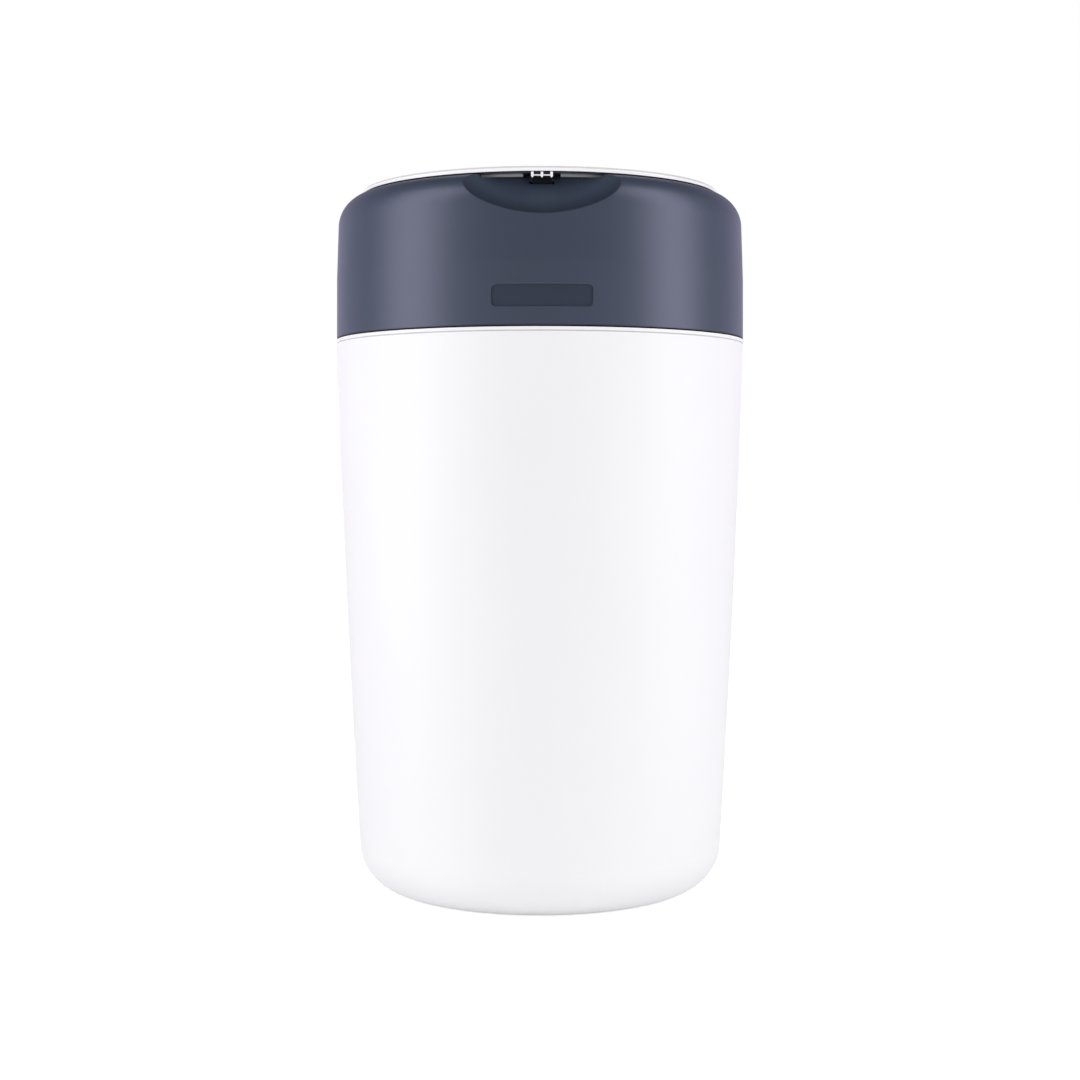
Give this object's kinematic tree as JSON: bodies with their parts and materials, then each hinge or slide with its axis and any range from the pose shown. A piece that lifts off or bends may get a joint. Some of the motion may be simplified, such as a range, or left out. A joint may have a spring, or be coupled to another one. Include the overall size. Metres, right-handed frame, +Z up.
{
  "type": "nappy bin",
  "caption": "Tapered nappy bin: tub, lift-off upper unit with a turning film cassette that clicks, a film cutter and a hinged lid with a finger scoop.",
  "frame": {"origin": "on the floor, under the middle of the bin", "axes": "+Z up along the tub's axis, -Y to the front with the finger scoop, +Y to the lid's hinge, +X to the right seen from the front"},
  "size_m": [0.25, 0.25, 0.4322],
  "materials": {
    "tub_white": "smooth glossy moulded plastic",
    "lid_white": "smooth glossy moulded plastic",
    "catch_black": "satin moulded plastic",
    "deck_white": "satin moulded plastic",
    "housing_blue_grey": "satin to glossy moulded plastic, dark blue-grey",
    "mechanism_blue": "satin moulded plastic, muted blue",
    "cassette_white": "thin satin moulded plastic",
    "cassette_cap_blue": "thin satin moulded plastic, pale blue",
    "film_blue": "soft pleated film",
    "slider_orange": "ribbed moulded plastic",
    "blade_steel": "ground steel",
    "screw_steel": "zinc plated steel",
    "seal_rubber": "soft matt rubber",
    "lid_seal_grey": "soft matt light grey rubber"
  },
  "bodies": {
    "tub": {"tub": "tub_white"},
    "upper_unit": {"upper_housing": "housing_blue_grey", "inner_deck": "deck_white", "bearing_ring": "cassette_white", "deck_screws": "screw_steel", "rim_seal": "seal_rubber", "retention_ring": "mechanism_blue", "retention_screws": "screw_steel", "hinge_pin": "screw_steel", "pawl_pin": "screw_steel", "pawl_spring": "screw_steel", "cutter_rail": "mechanism_blue", "cutter_screws": "screw_steel"},
    "lid": {"lid_outer": "lid_white", "lid_inner": "housing_blue_grey", "lid_seal": "lid_seal_grey", "lid_catch": "catch_black"},
    "cassette_ring": {"twist_ring": "mechanism_blue", "cassette_body": "cassette_white", "cassette_core": "cassette_white", "cassette_cap": "cassette_cap_blue", "film_pack": "film_blue"},
    "click_pawl": {"click_pawl": "mechanism_blue"},
    "cutter": {"cutter_slider": "slider_orange", "cutter_blade": "blade_steel"}
  },
  "joints": [
    {"name": "unit_lift", "type": "slide", "parent": "tub", "child": "upper_unit", "axis": [0, 0, 1], "range_m": [0, 0.12]},
    {"name": "lid_hinge", "type": "hinge", "parent": "upper_unit", "child": "lid", "pos_m": [0, 0.11196, 0.417], "axis": [-1, 0, 0], "range_deg": [0, 100]},
    {"name": "ring_twist", "type": "hinge", "parent": "upper_unit", "child": "cassette_ring", "pos_m": [0, 0, 0.347], "axis": [0, 0, 1], "continuous": true},
    {"name": "pawl_swing", "type": "hinge", "parent": "upper_unit", "child": "click_pawl", "pos_m": [-0.09794, -0.03826, 0.35], "axis": [0, 0, -1], "range_deg": [0, 8], "stiffness_Nm_per_rad": 0.02, "springref_deg": -8.59, "deforming": ["pawl_spring"]},
    {"name": "cutter_slide", "type": "slide", "parent": "upper_unit", "child": "cutter", "axis": [1, 0, 0], "range_m": [0, 0.045]}
  ]
}
